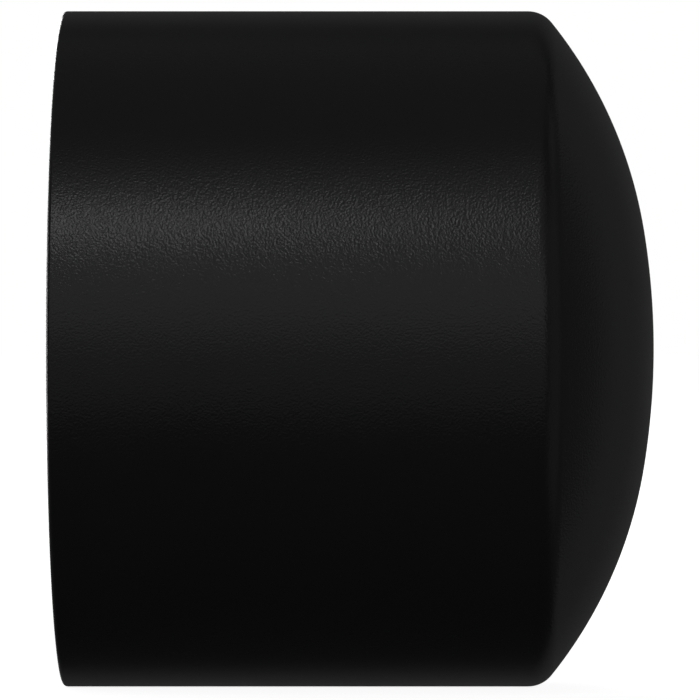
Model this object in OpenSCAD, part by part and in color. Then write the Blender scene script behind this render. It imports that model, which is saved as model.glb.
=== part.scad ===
// Push-fit end cap for a plain round pipe.
// The origin is the centre of the pipe's end when it is home against its stop.
// +X runs along the cap's axis, from the open rim to the crown of the dome.

/* [Pipe and socket] */
// Outside diameter of the pipe that the cap closes
pipe_d = 40; // [39.6:0.1:40.4]
// Radial clearance between the pipe and the guide bore
guide_clearance = 0.15; // [0.1:0.05:0.3]
// Depth of the socket, from the open rim to the pipe's stop
socket_depth = 30; // [26:0.5:31]
// Lead-in chamfer at the mouth of the guide bore
guide_chamfer = 0.4; // [0.2:0.1:0.8]

/* [Body] */
// Outside diameter of the cap
cap_d = 50; // [49.6:0.1:52]
// Length of the straight outer wall, from the rim to the dome's shoulder
wall_len = 34.3; // [33:0.1:38]
// Rounding of the rim's outer edge
rim_edge_r = 0.3; // [0.1:0.1:0.6]
// Chamfer of the rim's inner edge
rim_chamfer = 0.4; // [0.2:0.1:0.6]

/* [Dome] */
// Radius of the crown, the flattest arc at the centre of the dome
crown_r = 54; // [50:1:70]
// Angle from the axis at which the crown meets the knuckle
crown_angle = 9.8; // [8:0.1:11]
// Radius of the knuckle, the arc between the crown and the shoulder
knuckle_r = 32.7; // [31:0.1:36]
// Radius of the shoulder, the tight arc that meets the straight wall
shoulder_r = 2.2; // [1:0.1:4]
// Thickness of the domed end
dome_wall = 4; // [3:0.5:5]
// Fillet inside, where the dome meets the cavity wall
cavity_fillet_r = 3; // [2:0.5:4]

/* [Pipe stop] */
// Width of the ledge that runs all round behind the guide bore
ledge_w = 1; // [0.5:0.1:1.2]
// Number of stop ribs behind the ledge
rib_count = 8; // [4:1:12]
// Thickness of one rib
rib_t = 2; // [1:0.5:3]
// How far the ribs reach inwards past the guide bore
rib_reach = 3; // [2:0.5:4]

/* [Seal] */
// Section diameter of the relaxed seal ring
seal_section = 3.5; // [3.3:0.1:3.6]
// Share of the section that the fitted pipe squeezes out
seal_squeeze = 0.2; // [0.18:0.01:0.25]
// Width of the gland along the axis
gland_w = 4.5; // [4.3:0.1:5]

/* [Ring stack] */
// How far the retaining ring sits below the rim
retainer_recess = 0.3; // [0.1:0.1:0.6]
// Height of the retaining ring along the axis
retainer_h = 4; // [3.5:0.1:4.5]
// Height of the backing ring along the axis
backing_h = 2.8; // [2.6:0.1:3.4]
// Radial clearance round the stacked rings
stack_clearance = 0.05; // [0.02:0.01:0.1]
// Radial clearance between the pipe and the bores of the stacked rings
ring_clearance = 0.25; // [0.2:0.05:0.35]

/* [Grip ring] */
// Thickness of the spring steel sheet
sheet_t = 0.4; // [0.3:0.05:0.5]
// Number of teeth
tooth_count = 20; // [12:1:24]
// Width of the slot between two teeth
slot_w = 1.2; // [0.8:0.1:2]
// Radius of the bend between the flat rim and the teeth, measured from the pipe's surface
tooth_reach = 1.4; // [1.2:0.1:1.6]
// Slope of the teeth, from the plane of the ring
tooth_slope = 45; // [35:1:50]

/* [Snap bead] */
// Height of the bead that holds the retaining ring in
bead_h = 0.4; // [0.2:0.05:0.5]
// Length of the bead along the axis, with its lead-in ramp
bead_len = 1.4; // [1:0.1:1.6]
// Clearance all round the bead in its groove
bead_clearance = 0.1; // [0.05:0.05:0.15]

/* [Hidden] */
$fn = 180;
// Largest turn between two points of an arc in an outline
arc_step = 2;

cap_r = cap_d / 2;
pipe_r = pipe_d / 2;
guide_r = pipe_r + guide_clearance;
ring_bore_r = pipe_r + ring_clearance;
rib_inner_r = guide_r - rib_reach;
cavity_r = guide_r - ledge_w;

// Radial height of the squeezed seal ring, and the wall that it seals against
seal_h = seal_section * (1 - seal_squeeze);
gland_r = pipe_r + seal_h;
stack_r = gland_r - stack_clearance;

// Heights along the axis, from the rim inwards to the guide bore
rim_z = -socket_depth;
retainer_z = rim_z + retainer_recess;
grip_z = retainer_z + retainer_h;
backing_z = grip_z + sheet_t;
gland_z = backing_z + backing_h;
guide_z = gland_z + gland_w;
bead_z = retainer_z + 1.2;
bead_land = 0.3;

// Angle at which the knuckle meets the shoulder, so that the dome ends at radius r
function shoulder_angle(r, crown, knuckle, shoulder) =
    asin((r - shoulder - (crown - knuckle) * sin(crown_angle)) / (knuckle - shoulder));

// Height of such a dome, from the end of the straight wall to its crown
function dome_h(r, crown, knuckle, shoulder) =
    let (end_angle = shoulder_angle(r, crown, knuckle, shoulder))
    crown * (1 - cos(crown_angle))
        + knuckle * (cos(crown_angle) - cos(end_angle))
        + shoulder * cos(end_angle);

tip_z = rim_z + wall_len + dome_h(cap_r, crown_r, knuckle_r, shoulder_r);

// Unit vector at an angle from the cap's axis, as [radius, height]
function direction(angle) = [sin(angle), cos(angle)];

// Points along an arc, without its first point; angles are measured from the cap's axis
function arc(centre, r, from_angle, to_angle) =
    let (steps = ceil(abs(to_angle - from_angle) / arc_step))
    [for (i = [1 : steps]) centre + r * direction(from_angle + (to_angle - from_angle) * i / steps)];

// Outline of a dome that ends at radius r, from its tip outwards: crown, knuckle and shoulder, all tangent
function dome_outline(r, crown, knuckle, shoulder, tip) =
    let (
        end_angle = shoulder_angle(r, crown, knuckle, shoulder),
        crown_c = [0, tip - crown],
        knuckle_c = crown_c + (crown - knuckle) * direction(crown_angle),
        shoulder_c = knuckle_c + (knuckle - shoulder) * direction(end_angle)
    )
    concat(
        [[0, tip]],
        arc(crown_c, crown, 0, crown_angle),
        arc(knuckle_c, knuckle, crown_angle, end_angle),
        arc(shoulder_c, shoulder, end_angle, 90)
    );

// Turns a shape built up the Z axis so that its axis lies along +X
module along_x() {
    rotate([0, 90, 0]) children();
}

// Outer form of the cap, with its rounded rim edge
module outer_form() {
    rim_edge_c = [cap_r - rim_edge_r, rim_z + rim_edge_r];
    rotate_extrude() polygon(concat(
        [[0, rim_z]],
        dome_outline(cap_r, crown_r, knuckle_r, shoulder_r, tip_z),
        [[cap_r, rim_edge_c[1]]],
        arc(rim_edge_c, rim_edge_r, 90, 180)
    ));
}

// Space behind the pipe's end, parallel to the outside of the dome, with the stop ribs left standing
module cavity() {
    difference() {
        rotate_extrude() polygon(concat(
            [[0, 0]],
            dome_outline(
                cavity_r, crown_r - dome_wall, knuckle_r - dome_wall,
                cavity_fillet_r, tip_z - dome_wall
            ),
            [[cavity_r, 0]]
        ));
        for (i = [0 : rib_count - 1])
            rotate([0, 0, i * 360 / rib_count])
                translate([rib_inner_r, -rib_t / 2, -1])
                    cube([rib_reach + 1, rib_t, tip_z]);
    }
}

// Retaining bead: a steep shoulder towards the rim and a ramp towards the pipe's stop
module bead_section(clearance) {
    top_r = stack_r + bead_h + clearance;
    polygon([
        [stack_r - 1, bead_z - clearance],
        [top_r, bead_z - clearance],
        [top_r, bead_z + bead_land + clearance],
        [stack_r, bead_z + bead_len + clearance],
        [stack_r - 1, bead_z + bead_len + clearance]
    ]);
}

// Socket: the wide bore for the rings, the guide bore for the pipe, and their chamfers
module socket() {
    translate([0, 0, rim_z - 1]) cylinder(r = gland_r, h = guide_z - rim_z + 1);
    translate([0, 0, rim_z]) cylinder(r1 = gland_r + rim_chamfer, r2 = gland_r, h = rim_chamfer);
    translate([0, 0, guide_z]) cylinder(r1 = guide_r + guide_chamfer, r2 = guide_r, h = guide_chamfer);
    translate([0, 0, guide_z]) cylinder(r = guide_r, h = -guide_z);
    rotate_extrude() bead_section(bead_clearance);
}

// Moulded body: straight grained wall, domed end, socket and pipe stop in one piece
module cap_shell() {
    color("#313132") along_x() difference() {
        outer_form();
        socket();
        cavity();
    }
}

// Seal ring, squeezed to a flat-sided section of the same area as the relaxed round one
module seal_ring() {
    side_r = seal_h / 2;
    flat_len = PI * (pow(seal_section / 2, 2) - pow(side_r, 2)) / seal_h;
    mid_z = gland_z + gland_w / 2;
    color("#2b2b2c") along_x() rotate_extrude() {
        translate([pipe_r, mid_z - flat_len / 2]) square([seal_h, flat_len]);
        translate([pipe_r + side_r, mid_z + flat_len / 2]) intersection() {
            circle(side_r);
            translate([-side_r, 0]) square([seal_h, side_r]);
        }
        translate([pipe_r + side_r, mid_z - flat_len / 2]) intersection() {
            circle(side_r);
            translate([-side_r, -side_r]) square([seal_h, side_r]);
        }
    }
}

// Rigid ring between the seal and the teeth, hollowed out so that the teeth can spring open
module backing_ring() {
    clamp_w = 0.7;
    bore_land = 0.9;
    color("#e2dfd5") along_x() rotate_extrude() polygon([
        [stack_r - clamp_w, backing_z],
        [stack_r, backing_z],
        [stack_r, gland_z],
        [ring_bore_r, gland_z],
        [ring_bore_r, gland_z - bore_land]
    ]);
}

// Spring steel ring: a flat clamped rim, and sloping teeth that let the pipe in but not out
module grip_ring() {
    rim_r = stack_r - 0.15;
    bend_r = pipe_r + tooth_reach;
    tip_z = grip_z + tooth_reach * tan(tooth_slope);
    bend_shift = sheet_t * (1 / cos(tooth_slope) - 1) / tan(tooth_slope);
    slot_end_r = bend_r + 0.1;
    color("#cdcdce") along_x() difference() {
        rotate_extrude() polygon([
            [rim_r, grip_z],
            [rim_r, grip_z + sheet_t],
            [bend_r + bend_shift, grip_z + sheet_t],
            [pipe_r + sheet_t * sin(tooth_slope), tip_z + sheet_t * cos(tooth_slope)],
            [pipe_r, tip_z],
            [bend_r, grip_z]
        ]);
        for (i = [0 : tooth_count - 1])
            rotate([0, 0, i * 360 / tooth_count])
                translate([0, -slot_w / 2, grip_z - 1]) cube([slot_end_r, slot_w, 4]);
    }
}

// Ring that closes the stack: a lead-in for the pipe inside, a snap bead outside
module retaining_ring() {
    lead_w = 1.2;
    lead_len = 2;
    edge = 0.3;
    color("#3f3f41") along_x() rotate_extrude() {
        polygon([
            [ring_bore_r + lead_w, retainer_z],
            [stack_r - edge, retainer_z],
            [stack_r, retainer_z + edge],
            [stack_r, grip_z],
            [ring_bore_r, grip_z],
            [ring_bore_r, retainer_z + lead_len]
        ]);
        bead_section(0);
    }
}

cap_shell();
seal_ring();
backing_ring();
grip_ring();
retaining_ring();
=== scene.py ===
"""Push-fit pipe cap: a grained black moulded shell, and the ring stack in its socket."""
import math

import bmesh
import bpy
from mathutils import Matrix, Vector


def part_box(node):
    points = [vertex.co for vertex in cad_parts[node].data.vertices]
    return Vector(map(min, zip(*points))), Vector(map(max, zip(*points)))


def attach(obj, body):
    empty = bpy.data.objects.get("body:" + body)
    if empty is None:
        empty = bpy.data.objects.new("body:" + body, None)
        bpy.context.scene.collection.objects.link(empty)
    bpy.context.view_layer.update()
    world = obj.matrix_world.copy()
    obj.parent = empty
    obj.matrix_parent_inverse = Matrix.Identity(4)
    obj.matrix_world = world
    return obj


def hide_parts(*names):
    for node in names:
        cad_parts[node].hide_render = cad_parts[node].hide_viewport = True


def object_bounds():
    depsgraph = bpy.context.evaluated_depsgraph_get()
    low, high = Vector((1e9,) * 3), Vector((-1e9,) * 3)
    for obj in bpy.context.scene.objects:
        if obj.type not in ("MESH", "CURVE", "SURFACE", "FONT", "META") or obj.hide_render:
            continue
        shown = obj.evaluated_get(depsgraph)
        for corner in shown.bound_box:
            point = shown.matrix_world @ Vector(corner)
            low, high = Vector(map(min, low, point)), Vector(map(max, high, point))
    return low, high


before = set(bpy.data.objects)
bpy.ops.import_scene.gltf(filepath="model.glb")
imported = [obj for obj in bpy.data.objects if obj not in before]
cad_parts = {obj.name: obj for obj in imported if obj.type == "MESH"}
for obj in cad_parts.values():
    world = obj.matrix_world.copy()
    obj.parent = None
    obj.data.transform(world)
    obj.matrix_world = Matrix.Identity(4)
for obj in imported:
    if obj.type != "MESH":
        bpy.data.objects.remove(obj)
cad_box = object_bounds()

# ---------------------------------------------------------------------------
# Dimensions in millimetres, in the frame of the CAD model: X along the axis
# ---------------------------------------------------------------------------
MM = 0.001

shell_low, shell_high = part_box("cap_shell")
RIM_X = shell_low[0] / MM
TIP_X = shell_high[0] / MM
CAP_R = shell_high[2] / MM

# The dome's three arcs, and the rounding of the rim's outer edge
CROWN_R = 54.0
CROWN_ANGLE = math.radians(9.8)
KNUCKLE_R = 32.7
SHOULDER_R = 2.2
DOME_WALL = 4.0
CAVITY_FILLET_R = 3.0
RIM_EDGE_R = 0.3

# Radii: the pipe, the bores round it, the stack of rings, and the cavity behind the pipe's end
PIPE_R = 20.0
GUIDE_R = 20.15
RING_BORE_R = 20.25
GLAND_R = 22.8
STACK_R = 22.75
CAVITY_R = 19.15

# Where the guide bore begins, and the chamfer at its mouth and at the rim
GUIDE_X = -18.0
CHAMFER = 0.4

# The stop ribs. They begin just behind the ledge, and their far ends are buried in the shell.
RIB_COUNT = 8
RIB_T = 2.0
RIB_INNER_R = 17.15
RIB_FRONT_X = 0.03
RIB_BACK_X = 9.0
RIB_BURIAL = 0.6
RIB_EDGE_R = 0.25

# The stack of rings, from the rim inwards
retainer_low, retainer_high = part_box("retaining_ring")
RETAINER_X = retainer_low[0] / MM
GRIP_X = retainer_high[0] / MM
SHEET_T = 0.4
BACKING_X = GRIP_X + SHEET_T
GLAND_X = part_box("backing_ring")[1][0] / MM
LEAD_IN_W = 1.2
LEAD_IN_LEN = 2.0
BACKING_LIP_W = 0.7
BACKING_LAND = 0.9

# The retaining ring's snap bead, and the clearance round it in its groove
BEAD_X = RETAINER_X + 1.2
BEAD_H = 0.4
BEAD_LAND = 0.3
BEAD_LEN = 1.4
BEAD_CLEARANCE = 0.1

# The grip ring: its teeth, and its sheet's middle surface, which stops short at both edges
TOOTH_COUNT = 20
SLOT_W = 1.2
TOOTH_REACH = 1.4
TOOTH_SLOPE = math.radians(45)
SHEET_BEND_R = 0.5
SHEET_EDGE_R = 0.05
FLAT_EDGE_GAP = 0.15
BEND_SHIFT = 0.08
TIP_GAP_X = 0.06
TIP_GAP_R = 0.16
TOOTH_COLS = 8
SLOT_COLS = 2

# Facets round the axis, the radius below which a point lies on the axis, the half angle from
# which a corner counts as straight, and the angle from which an edge is shaded sharp
SEGMENTS = 240
ON_AXIS = 1e-6
NEARLY_STRAIGHT = math.radians(89)
SHARP = math.radians(40)


# ---------------------------------------------------------------------------
# Outlines: lists of (x, r) points in millimetres
# ---------------------------------------------------------------------------
def arc(centre, radius, start, end, step=0.7):
    """Points along an arc, without its first. Angles run from the +X axis towards +r."""
    count = max(3, math.ceil(abs(end - start) * radius / step))
    points = []
    for i in range(1, count + 1):
        angle = start + (end - start) * i / count
        points.append((centre[0] + radius * math.cos(angle), centre[1] + radius * math.sin(angle)))
    return points


def dome_outline(r, crown, knuckle, shoulder, tip):
    """A dome from its tip outwards to radius r: crown, knuckle and shoulder arcs, all tangent."""
    sine = (r - shoulder - (crown - knuckle) * math.sin(CROWN_ANGLE)) / (knuckle - shoulder)
    end = math.asin(sine)
    crown_c = (tip - crown, 0.0)
    knuckle_c = (
        crown_c[0] + (crown - knuckle) * math.cos(CROWN_ANGLE),
        (crown - knuckle) * math.sin(CROWN_ANGLE),
    )
    shoulder_c = (
        knuckle_c[0] + (knuckle - shoulder) * math.cos(end),
        knuckle_c[1] + (knuckle - shoulder) * math.sin(end),
    )
    return (
        [(tip, 0.0)]
        + arc(crown_c, crown, 0.0, CROWN_ANGLE)
        + arc(knuckle_c, knuckle, CROWN_ANGLE, end)
        + arc(shoulder_c, shoulder, end, math.pi / 2, step=0.2)
    )


def rounded(corners, segments=4):
    """An open outline through (x, r, fillet) corners, with its inner corners rounded."""
    points = [corners[0][:2]]
    for before, here, after in zip(corners, corners[1:], corners[2:]):
        a, b, c = (Vector(p[:2]) for p in (before, here, after))
        to_a, to_c = (a - b).normalized(), (c - b).normalized()
        half = to_a.angle(to_c) / 2
        fillet = here[2]
        if fillet <= 0 or half > NEARLY_STRAIGHT:
            points.append(tuple(b))
            continue
        reach = fillet / math.tan(half)
        centre = b + (to_a + to_c).normalized() * fillet / math.sin(half)
        start, end = b + to_a * reach - centre, b + to_c * reach - centre
        turn = start.angle_signed(end)
        for i in range(segments + 1):
            points.append(tuple(centre + Matrix.Rotation(-turn * i / segments, 2) @ start))
    points.append(corners[-1][:2])
    return points


def fine(points, longest):
    """The same outline with its long stretches cut into pieces no longer than longest."""
    result = [points[0]]
    for a, b in zip(points, points[1:]):
        count = max(1, math.ceil(math.dist(a, b) / longest))
        for i in range(1, count + 1):
            result.append((a[0] + (b[0] - a[0]) * i / count, a[1] + (b[1] - a[1]) * i / count))
    return result


# ---------------------------------------------------------------------------
# Meshes
# ---------------------------------------------------------------------------
def on_circle(x, r, angle):
    """A point at radius r about the X axis, in metres. The angle runs from +Z towards +Y."""
    return x * MM, r * MM * math.sin(angle), r * MM * math.cos(angle)


def revolve(bm, outline, closed=False, material_from=None):
    """Turns an outline about the X axis. Faces from outline index material_from get material 1."""
    angles = [2 * math.pi * (i + 0.5) / SEGMENTS for i in range(SEGMENTS)]
    rings = []
    for x, r in outline:
        if r < ON_AXIS:
            rings.append([bm.verts.new((x * MM, 0.0, 0.0))])
        else:
            rings.append([bm.verts.new(on_circle(x, r, angle)) for angle in angles])
    pairs = list(zip(rings, rings[1:]))
    if closed:
        pairs.append((rings[-1], rings[0]))
    for index, (a, b) in enumerate(pairs):
        for i in range(SEGMENTS):
            j = (i + 1) % SEGMENTS
            corners = [a[i % len(a)], a[j % len(a)], b[j % len(b)], b[i % len(b)]]
            face = bm.faces.new(list(dict.fromkeys(corners)))
            face.material_index = int(material_from is not None and index >= material_from)


def new_piece(name, bm, materials):
    """Makes an object of a mesh, shaded smooth but for its sharp edges."""
    bmesh.ops.recalc_face_normals(bm, faces=bm.faces)
    mesh = bpy.data.meshes.new(name)
    bm.to_mesh(mesh)
    bm.free()
    for material in materials:
        mesh.materials.append(material)
    for polygon in mesh.polygons:
        polygon.use_smooth = True
    mesh.set_sharp_from_angle(angle=SHARP)
    piece = bpy.data.objects.new(name, mesh)
    bpy.context.scene.collection.objects.link(piece)
    return piece


def keep_flats_flat(piece):
    """Weights normals by face area, so that small roundings don't shade the flats beside them."""
    modifier = piece.modifiers.new("normals", "WEIGHTED_NORMAL")
    modifier.keep_sharp = True


def finish_piece(piece, node):
    """Puts a piece in the place of its CAD node."""
    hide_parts(node)
    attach(piece, "root")


def baked(piece):
    """Turns a piece's modifiers into its mesh."""
    depsgraph = bpy.context.evaluated_depsgraph_get()
    mesh = bpy.data.meshes.new_from_object(piece.evaluated_get(depsgraph))
    old = piece.data
    piece.modifiers.clear()
    piece.data = mesh
    bpy.data.meshes.remove(old)


def cut_large_faces(piece):
    """Cuts faces of more than four corners into triangles that don't share an edge twice."""
    bm = bmesh.new()
    bm.from_mesh(piece.data)
    large = [face for face in bm.faces if len(face.verts) > 4]
    bmesh.ops.triangulate(bm, faces=large, ngon_method="BEAUTY")
    bm.to_mesh(piece.data)
    bm.free()


# ---------------------------------------------------------------------------
# Materials
# ---------------------------------------------------------------------------
class Nodes:
    """Short names for building one material's node tree."""

    def __init__(self, name):
        self.material = bpy.data.materials.new(name)
        self.material.use_nodes = True
        self.tree = self.material.node_tree
        self.shader = self.tree.nodes["Principled BSDF"]
        self.position = self.new("ShaderNodeTexCoord").outputs["Object"]

    def new(self, kind, **settings):
        node = self.tree.nodes.new(kind)
        for key, value in settings.items():
            setattr(node, key, value)
        return node

    def put(self, node, inputs):
        for name, value in inputs.items():
            socket = node.inputs[name]
            if isinstance(value, bpy.types.NodeSocket):
                self.tree.links.new(value, socket)
            else:
                socket.default_value = value
        return node

    def scaled(self, scale):
        """Object position times a scale per axis. The result is in millimetres when scale is 1."""
        node = self.new("ShaderNodeVectorMath", operation="MULTIPLY")
        self.put(node, {0: self.position, 1: [s / MM for s in scale]})
        return node.outputs[0]

    def noise(self, size, detail=2.0, roughness=0.5, distortion=0.0, stretch=(1.0, 1.0, 1.0)):
        """Noise with features of the given size in millimetres, from 0 to 1."""
        node = self.new("ShaderNodeTexNoise")
        self.put(node, {
            "Vector": self.scaled([s / size for s in stretch]),
            "Scale": 1.0,
            "Detail": detail,
            "Roughness": roughness,
            "Distortion": distortion,
        })
        return node.outputs["Fac"]

    def ranged(self, value, low, high, from_low=0.3, from_high=0.7):
        """A value carried from one range to another."""
        node = self.new("ShaderNodeMapRange")
        self.put(node, {
            "Value": value,
            "From Min": from_low,
            "From Max": from_high,
            "To Min": low,
            "To Max": high,
        })
        return node.outputs["Result"]

    def blend(self, factor, low, high):
        """A colour between two, by a factor."""
        node = self.new("ShaderNodeMix", data_type="RGBA")
        self.put(node, {0: factor, 6: (*low, 1.0), 7: (*high, 1.0)})
        return node.outputs[2]

    def bump(self, height, depth):
        """Bumps of the given depth in millimetres."""
        node = self.new("ShaderNodeBump")
        self.put(node, {"Height": height, "Distance": depth * MM, "Strength": 1.0})
        return node.outputs["Normal"]

    def reversed_round(self, normal):
        """A normal with its slope round the X axis reversed, so that streaks lean the other way."""
        tangent = self.new("ShaderNodeVectorMath", operation="CROSS_PRODUCT")
        self.put(tangent, {0: self.position, 1: (1.0, 0.0, 0.0)})
        mirror = self.new("ShaderNodeVectorMath", operation="REFLECT")
        self.put(mirror, {0: normal, 1: tangent.outputs[0]})
        return mirror.outputs[0]

    def finish(self, **inputs):
        for name, value in inputs.items():
            self.put(self.shader, {name.replace("_", " "): value})
        return self.material


def grained_plastic():
    """Black plastic off a textured mould: a fine leathery grain all over the outside."""
    n = Nodes("grained_plastic")
    patch = n.noise(9.0, detail=3.0)
    grain = n.noise(0.155, detail=1.0, roughness=0.4, distortion=0.3)
    normal = n.reversed_round(n.bump(grain, 0.022))
    return n.finish(
        Base_Color=n.blend(patch, (0.029, 0.029, 0.030), (0.034, 0.034, 0.035)),
        Roughness=n.ranged(patch, 0.20, 0.235),
        Normal=normal,
    )


def smooth_plastic():
    """The same black plastic off a smooth core, with faint turning marks from the tool."""
    n = Nodes("smooth_plastic")
    turning = n.noise(0.25, detail=2.0, stretch=(1.0, 0.03, 0.03))
    patch = n.noise(6.0, detail=3.0)
    normal = n.bump(turning, 0.004)
    return n.finish(
        Base_Color=n.blend(patch, (0.026, 0.026, 0.027), (0.032, 0.032, 0.033)),
        Roughness=n.ranged(patch, 0.28, 0.36),
        Normal=normal,
    )


def ring_plastic():
    """Black plastic of the retaining ring, with a light sheen."""
    n = Nodes("ring_plastic")
    patch = n.noise(4.0, detail=3.0)
    speckle = n.noise(0.2, detail=2.0)
    return n.finish(
        Base_Color=n.blend(patch, (0.045, 0.045, 0.048), (0.056, 0.056, 0.060)),
        Roughness=n.ranged(patch, 0.3, 0.4),
        Normal=n.bump(speckle, 0.004),
    )


def seal_rubber():
    """Black rubber, wiped with a trace of grease."""
    n = Nodes("seal_rubber")
    grease = n.noise(2.5, detail=4.0, roughness=0.6)
    pores = n.noise(0.12, detail=2.0)
    return n.finish(
        Base_Color=n.blend(grease, (0.020, 0.020, 0.021), (0.028, 0.028, 0.029)),
        Roughness=n.ranged(grease, 0.28, 0.55),
        Normal=n.bump(pores, 0.004),
    )


def acetal():
    """Natural white acetal, slightly waxy."""
    n = Nodes("acetal")
    cloud = n.noise(5.0, detail=3.0)
    fine_noise = n.noise(0.2, detail=2.0)
    return n.finish(
        Base_Color=n.blend(cloud, (0.72, 0.70, 0.63), (0.80, 0.78, 0.71)),
        Roughness=n.ranged(cloud, 0.32, 0.42),
        Normal=n.bump(fine_noise, 0.004),
    )


def spring_steel():
    """Rolled stainless strip with its fine rolling lines."""
    n = Nodes("spring_steel")
    lines = n.noise(0.12, detail=3.0, stretch=(1.0, 1.0, 0.05))
    stain = n.noise(3.0, detail=4.0)
    return n.finish(
        Base_Color=n.blend(stain, (0.56, 0.56, 0.57), (0.66, 0.66, 0.67)),
        Metallic=1.0,
        Roughness=n.ranged(stain, 0.22, 0.34),
        Normal=n.bump(lines, 0.003),
    )


# ---------------------------------------------------------------------------
# The pieces
# ---------------------------------------------------------------------------
def make_rib(bm, angle):
    """One stop rib: a rounded block that the shell's wall and dome bury on three sides."""
    block = bmesh.new()
    bmesh.ops.create_cube(block, size=1.0)
    low = Vector((RIB_FRONT_X, -RIB_T / 2, RIB_INNER_R))
    high = Vector((RIB_BACK_X, RIB_T / 2, CAVITY_R + RIB_BURIAL))
    for vert in block.verts:
        for axis in range(3):
            vert.co[axis] = (low[axis] if vert.co[axis] < 0 else high[axis]) * MM
    middle = (low + high) / 2 * MM
    front = {e for e in block.edges if all(v.co.x < middle.x for v in e.verts)}
    inner = {e for e in block.edges if all(v.co.z < middle.z for v in e.verts)}
    bmesh.ops.bevel(
        block,
        geom=list(front | inner),
        offset=RIB_EDGE_R * MM,
        segments=3,
        affect="EDGES",
        profile=0.5,
    )
    block.transform(Matrix.Rotation(angle, 4, "X"))
    mesh = bpy.data.meshes.new("rib")
    block.to_mesh(mesh)
    block.free()
    bm.from_mesh(mesh)
    bpy.data.meshes.remove(mesh)


def make_cap_shell():
    """The moulded body: grained outside, smooth socket and cavity inside, with its stop ribs."""
    outside = dome_outline(CAP_R, CROWN_R, KNUCKLE_R, SHOULDER_R, TIP_X)
    rim_c = (RIM_X + RIM_EDGE_R, CAP_R - RIM_EDGE_R)
    outside += [(rim_c[0], CAP_R)]
    outside += arc(rim_c, RIM_EDGE_R, math.pi / 2, math.pi, step=0.08)
    outside = fine(outside, longest=1.0)
    groove_r = STACK_R + BEAD_H + BEAD_CLEARANCE
    inside = rounded([
        (RIM_X, CAP_R - RIM_EDGE_R, 0),
        (RIM_X, GLAND_R + CHAMFER, 0.1),
        (RIM_X + CHAMFER, GLAND_R, 0.1),
        (BEAD_X - BEAD_CLEARANCE, GLAND_R, 0.05),
        (BEAD_X - BEAD_CLEARANCE, groove_r, 0.1),
        (BEAD_X + BEAD_LAND + BEAD_CLEARANCE, groove_r, 0.1),
        (BEAD_X + BEAD_LEN, GLAND_R, 0.1),
        (GUIDE_X, GLAND_R, 0.3),
        (GUIDE_X, GUIDE_R + CHAMFER, 0.12),
        (GUIDE_X + CHAMFER, GUIDE_R, 0.15),
        (0.0, GUIDE_R, 0.1),
        (0.0, CAVITY_R, 0.15),
        (1.0, CAVITY_R, 0),
    ])[1:]
    cavity = dome_outline(
        CAVITY_R,
        CROWN_R - DOME_WALL,
        KNUCKLE_R - DOME_WALL,
        CAVITY_FILLET_R,
        TIP_X - DOME_WALL,
    )
    inside += list(reversed(cavity))
    inside = fine([outside[-1]] + inside, longest=1.2)[1:]

    bm = bmesh.new()
    revolve(bm, outside + inside, material_from=len(outside) - 1)
    shell = new_piece("cap_shell_body", bm, [grained_plastic(), smooth_plastic()])

    ribs_bm = bmesh.new()
    for i in range(RIB_COUNT):
        make_rib(ribs_bm, 2 * math.pi * i / RIB_COUNT)
    for face in ribs_bm.faces:
        face.material_index = 1
    ribs = new_piece("ribs", ribs_bm, shell.data.materials)

    join = shell.modifiers.new("ribs", "BOOLEAN")
    join.operation = "UNION"
    join.solver = "EXACT"
    join.object = ribs
    baked(shell)
    cut_large_faces(shell)
    shell.data.set_sharp_from_angle(angle=SHARP)
    bpy.data.objects.remove(ribs)
    keep_flats_flat(shell)
    finish_piece(shell, "cap_shell")


def make_seal_ring():
    """The rubber seal, squeezed by the pipe to a flat-sided section."""
    low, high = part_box("seal_ring")
    side_r = (GLAND_R - PIPE_R) / 2
    mid_r = PIPE_R + side_r
    near_x, far_x = low[0] / MM + side_r, high[0] / MM - side_r
    outline = arc((far_x, mid_r), side_r, -math.pi / 2, math.pi / 2, step=0.2)
    outline += arc((near_x, mid_r), side_r, math.pi / 2, 3 * math.pi / 2, step=0.2)
    bm = bmesh.new()
    revolve(bm, fine(outline, longest=0.5), closed=True)
    ring = new_piece("seal_ring_rubber", bm, [seal_rubber()])
    finish_piece(ring, "seal_ring")


def ring_piece(name, corners, material, node):
    """A turned ring from a closed list of (x, r, fillet) corners."""
    loop = rounded([corners[-1]] + corners + [corners[0]])[1:-1]
    loop = fine(loop + [loop[0]], longest=0.8)[:-1]
    bm = bmesh.new()
    revolve(bm, loop, closed=True)
    ring = new_piece(name, bm, [material])
    keep_flats_flat(ring)
    finish_piece(ring, node)


def make_backing_ring():
    """The rigid ring behind the seal, hollowed out where the teeth spring open."""
    ring_piece("backing_ring_acetal", [
        (BACKING_X, STACK_R - BACKING_LIP_W, 0.1),
        (BACKING_X, STACK_R, 0.15),
        (GLAND_X, STACK_R, 0.15),
        (GLAND_X, RING_BORE_R, 0.15),
        (GLAND_X - BACKING_LAND, RING_BORE_R, 0.1),
    ], acetal(), "backing_ring")


def make_retaining_ring():
    """The ring that closes the stack: a lead-in for the pipe inside, a snap bead outside."""
    outer_chamfer = 0.3
    ring_piece("retaining_ring_plastic", [
        (RETAINER_X, RING_BORE_R + LEAD_IN_W, 0.2),
        (RETAINER_X, STACK_R - outer_chamfer, 0.1),
        (RETAINER_X + outer_chamfer, STACK_R, 0.1),
        (BEAD_X, STACK_R, 0.05),
        (BEAD_X, STACK_R + BEAD_H, 0.06),
        (BEAD_X + BEAD_LAND, STACK_R + BEAD_H, 0.1),
        (BEAD_X + BEAD_LEN, STACK_R, 0.1),
        (GRIP_X, STACK_R, 0.15),
        (GRIP_X, RING_BORE_R, 0.15),
        (RETAINER_X + LEAD_IN_LEN, RING_BORE_R, 0.4),
    ], ring_plastic(), "retaining_ring")


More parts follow.
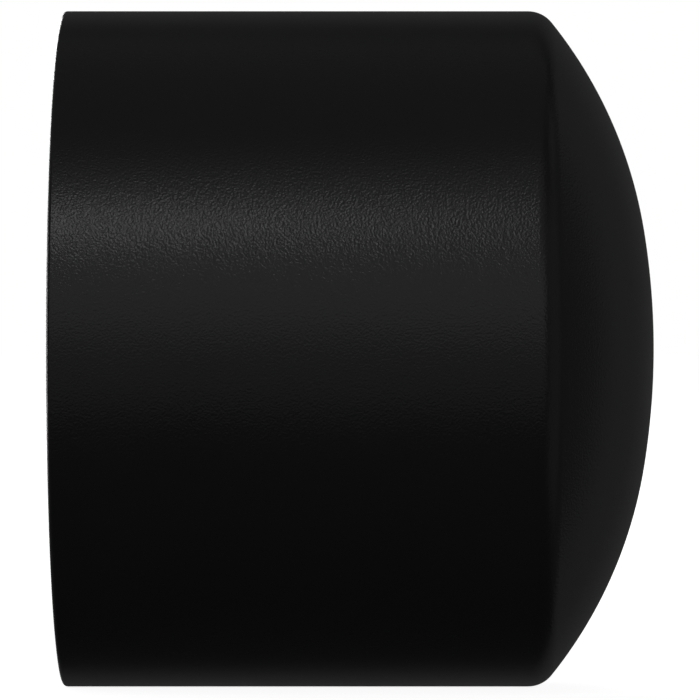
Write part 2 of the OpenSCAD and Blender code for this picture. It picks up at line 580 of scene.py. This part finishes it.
def sheet_angles(r):
    """Angles of the mesh columns at radius r: across each tooth, then across the slot after it."""
    pitch = 2 * math.pi / TOOTH_COUNT
    half_slot = math.asin(SLOT_W / 2 / r)
    angles = [
        half_slot + (pitch - 2 * half_slot) * col / TOOTH_COLS for col in range(TOOTH_COLS + 1)
    ]
    angles += [pitch - half_slot + 2 * half_slot * col / SLOT_COLS for col in range(1, SLOT_COLS)]
    return [angle + pitch * tooth for tooth in range(TOOTH_COUNT) for angle in angles]


def make_grip_ring():
    """A sheet steel ring: its middle surface is meshed, left open at the slots, and thickened."""
    mid_x = GRIP_X + SHEET_T / 2
    bend_r = PIPE_R + TOOTH_REACH
    tip_x = mid_x + TOOTH_REACH * math.tan(TOOTH_SLOPE) - TIP_GAP_X
    path = rounded([
        (mid_x, STACK_R - FLAT_EDGE_GAP, 0),
        (mid_x, bend_r + BEND_SHIFT, SHEET_BEND_R),
        (tip_x, PIPE_R + TIP_GAP_R, 0),
    ])
    path = fine(path, longest=0.25)
    slot_end_r = bend_r + 0.1
    first_tooth_row = next(i for i, (x, r) in enumerate(path) if r < slot_end_r)
    bm = bmesh.new()
    rows = [[bm.verts.new(on_circle(x, r, angle)) for angle in sheet_angles(r)] for x, r in path]
    for index, (a, b) in enumerate(zip(rows, rows[1:])):
        for i in range(len(a)):
            in_slot = i % (TOOTH_COLS + SLOT_COLS) >= TOOTH_COLS
            if in_slot and index >= first_tooth_row:
                continue
            j = (i + 1) % len(a)
            bm.faces.new((a[i], a[j], b[j], b[i]))
    loose = [v for v in bm.verts if not v.link_faces]
    bmesh.ops.delete(bm, geom=loose, context="VERTS")
    ring = new_piece("grip_ring_steel", bm, [spring_steel()])
    thick = ring.modifiers.new("thickness", "SOLIDIFY")
    thick.thickness = SHEET_T * MM
    thick.offset = 0.0
    thick.use_even_offset = True
    edge = ring.modifiers.new("edge", "BEVEL")
    edge.width = SHEET_EDGE_R * MM
    edge.segments = 2
    edge.limit_method = "ANGLE"
    edge.angle_limit = math.radians(50)
    baked(ring)
    for polygon in ring.data.polygons:
        polygon.use_smooth = True
    keep_flats_flat(ring)
    finish_piece(ring, "grip_ring")


make_cap_shell()
make_seal_ring()
make_backing_ring()
make_grip_ring()
make_retaining_ring()


# ---------------------------------------------------------------------------
# Stage, light and camera
# ---------------------------------------------------------------------------
LIGHT_DISTANCE = 2.0
FLOOR_SIZE = 20.0
SURROUND = 0.0165
WHITE = (1.0, 1.0, 1.0, 1.0)


def make_floor():
    """A white light table that glows evenly, with its glow painted dimmer round the cap as a faint
    shadow.
    """
    bm = bmesh.new()
    bmesh.ops.create_grid(bm, x_segments=1, y_segments=1, size=FLOOR_SIZE)
    mesh = bpy.data.meshes.new("floor")
    bm.to_mesh(mesh)
    bm.free()
    floor = bpy.data.objects.new("floor", mesh)
    floor.location.z = cad_box[0][2]
    n = Nodes("floor_white")
    away = n.new("ShaderNodeVectorMath", operation="LENGTH")
    n.put(away, {0: n.position})
    # The glow is lower near the cap: a painted faint shadow round it, brighter further away.
    glow_with_painted_shadow = n.ranged(away.outputs["Value"], 0.93, 1.0, from_low=0.03, from_high=0.15)
    n.finish(
        Base_Color=(0.9, 0.9, 0.9, 1.0),
        Roughness=0.8,
        Emission_Color=WHITE,
        Emission_Strength=glow_with_painted_shadow,
    )
    mesh.materials.append(n.material)
    bpy.context.scene.collection.objects.link(floor)
    floor.visible_glossy = False
    floor.visible_diffuse = False
    floor.visible_shadow = False


def make_world():
    """White where the camera sees it, dim where it lights the cap."""
    world = bpy.data.worlds.new("studio")
    bpy.context.scene.world = world
    world.use_nodes = True
    tree = world.node_tree
    tree.nodes.clear()
    seen = tree.nodes.new("ShaderNodeBackground")
    seen.inputs["Color"].default_value = WHITE
    lighting = tree.nodes.new("ShaderNodeBackground")
    lighting.inputs["Color"].default_value = WHITE
    lighting.inputs["Strength"].default_value = SURROUND
    path = tree.nodes.new("ShaderNodeLightPath")
    mix = tree.nodes.new("ShaderNodeMixShader")
    out = tree.nodes.new("ShaderNodeOutputWorld")
    tree.links.new(path.outputs["Is Camera Ray"], mix.inputs[0])
    tree.links.new(lighting.outputs[0], mix.inputs[1])
    tree.links.new(seen.outputs[0], mix.inputs[2])
    tree.links.new(mix.outputs[0], out.inputs["Surface"])


def softbox(name, azimuth, elevation, half_width, half_height, radiance):
    """An area light aimed at the cap, whose halves are the angles in degrees that it is seen under.

    Azimuth 0 is the camera's side, and 90 is +X.
    """
    a, e = math.radians(azimuth), math.radians(elevation)
    away = Vector((math.sin(a) * math.cos(e), -math.cos(a) * math.cos(e), math.sin(e)))
    data = bpy.data.lights.new(name, "AREA")
    data.shape = "RECTANGLE"
    data.size = 2 * LIGHT_DISTANCE * math.tan(math.radians(half_width))
    data.size_y = 2 * LIGHT_DISTANCE * math.tan(math.radians(half_height))
    data.energy = math.pi * data.size * data.size_y * radiance
    light = bpy.data.objects.new(name, data)
    centre = Vector(((cad_box[0][0] + cad_box[1][0]) / 2, 0.0, 0.0))
    light.location = centre + away * LIGHT_DISTANCE
    light.rotation_euler = away.to_track_quat("Z", "Y").to_euler()
    light.visible_camera = False
    bpy.context.scene.collection.objects.link(light)


def make_lights():
    """A small key and large dim panels for the side in view, and brighter lamps for the rest."""
    softbox("key", azimuth=-9.5, elevation=41.6, half_width=4.5, half_height=7.5, radiance=2.33)
    softbox("scrim", azimuth=6, elevation=46, half_width=22, half_height=18, radiance=0.13)
    softbox("front", azimuth=0, elevation=17, half_width=25, half_height=12, radiance=0.205)
    softbox("front_wide", azimuth=0, elevation=6, half_width=30, half_height=26, radiance=0.12)
    softbox("top", azimuth=-104, elevation=82, half_width=40, half_height=32, radiance=0.045)
    softbox("right", azimuth=90, elevation=0, half_width=48, half_height=48, radiance=0.027)
    softbox("right_front", azimuth=62, elevation=0, half_width=24, half_height=40, radiance=0.052)
    softbox("right_top", azimuth=95, elevation=48, half_width=9, half_height=9, radiance=0.08)
    softbox("back", azimuth=165, elevation=0, half_width=45, half_height=40, radiance=0.03)
    softbox("back_left", azimuth=-138, elevation=5, half_width=30, half_height=20, radiance=0.5)
    softbox("back_strip", azimuth=-160, elevation=8, half_width=8, half_height=12, radiance=4.5)
    softbox("left", azimuth=-101, elevation=0, half_width=20, half_height=16, radiance=3.0)


def make_camera():
    """A long lens, square to the cap's axis, aimed just beside the middle of the cap's box."""
    view_width = 51.93 * MM
    distance = 392.8 * MM
    aim_x, aim_z = -0.65 * MM, -0.084 * MM
    data = bpy.data.cameras.new("camera")
    data.sensor_width = 36.0
    data.lens = data.sensor_width * distance / view_width
    data.clip_start = 0.01
    camera = bpy.data.objects.new("camera", data)
    middle_x = (cad_box[0][0] + cad_box[1][0]) / 2
    camera.location = (middle_x + aim_x, -distance, aim_z)
    camera.rotation_euler = (math.radians(90), 0.0, 0.0)
    bpy.context.scene.collection.objects.link(camera)
    bpy.context.scene.camera = camera


make_floor()
make_world()
make_lights()
make_camera()
bpy.context.scene.view_settings.view_transform = "Standard"
